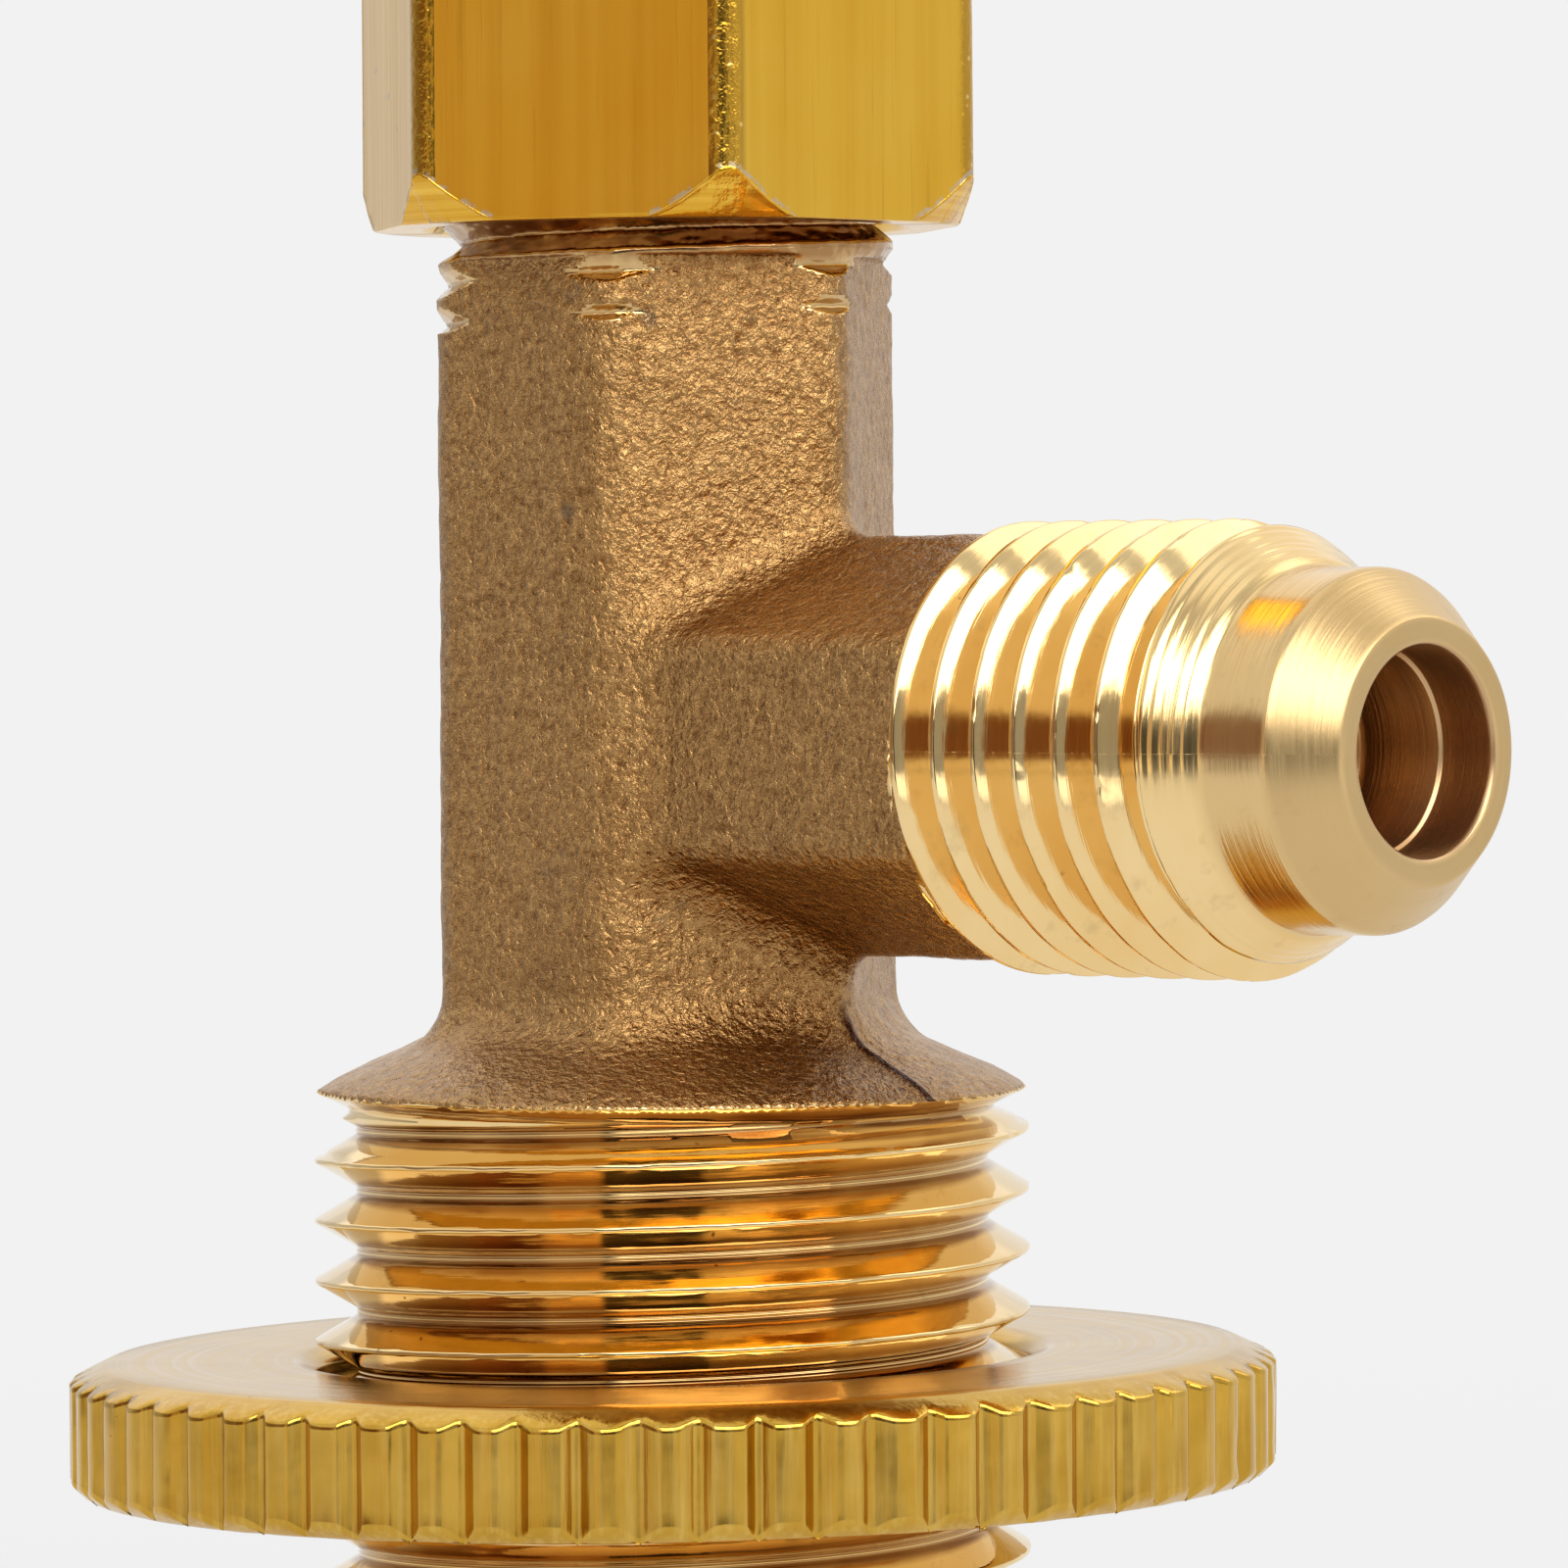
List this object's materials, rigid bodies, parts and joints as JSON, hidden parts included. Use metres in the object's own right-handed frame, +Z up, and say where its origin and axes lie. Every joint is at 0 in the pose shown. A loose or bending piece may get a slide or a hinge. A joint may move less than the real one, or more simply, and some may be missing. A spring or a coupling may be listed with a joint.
{
  "type": "refrigerant can tap",
  "caption": "Brass can tap: forged tee body with side flare port, hexagonal bonnet, screw stem with cross bar and piercing needle, and a knurled lock disc on the base thread.",
  "frame": {"origin": "centre of the flat lower end that screws onto the can", "axes": "+Z up along the stem, +X along the side port, out of its mouth"},
  "size_m": [0.0393, 0.052, 0.072],
  "materials": {
    "forged_brass": "blasted forging with bright turned threads",
    "drawn_brass": "bright drawn bar with fine lines along the faces",
    "turned_brass": "fine turned",
    "disc_brass": "turned faces and straight knurled edge",
    "needle_steel": "ground",
    "plated_steel": "plated",
    "seal_rubber": "moulded",
    "gasket_rubber": "moulded"
  },
  "bodies": {
    "tap_body": {"valve_body": "forged_brass", "bonnet_nut": "drawn_brass", "can_gasket": "gasket_rubber"},
    "stem_seals": {"lower_stem_seal": "seal_rubber", "upper_stem_seal": "seal_rubber"},
    "stem": {"valve_stem": "turned_brass", "piercing_needle": "needle_steel", "handle_bar": "plated_steel"},
    "disc": {"lock_disc": "disc_brass"}
  },
  "joints": [
    {"name": "stem_turn", "type": "hinge", "parent": "stem_seals", "child": "stem", "pos_m": [0, 0, 0.067], "axis": [0, 0, 1], "range_deg": [-2700, 0]},
    {"name": "stem_advance", "type": "slide", "parent": "tap_body", "child": "stem_seals", "axis": [0, 0, 1], "range_m": [-0.0075, 0]},
    {"name": "disc_travel", "type": "slide", "parent": "tap_body", "child": "disc", "axis": [0, 0, 1], "range_m": [-0.0086, 0.0052]}
  ],
  "couplings": [
    {"joint": "stem_advance", "follows": "stem_turn", "m_per_rad": 0.00015915}
  ]
}
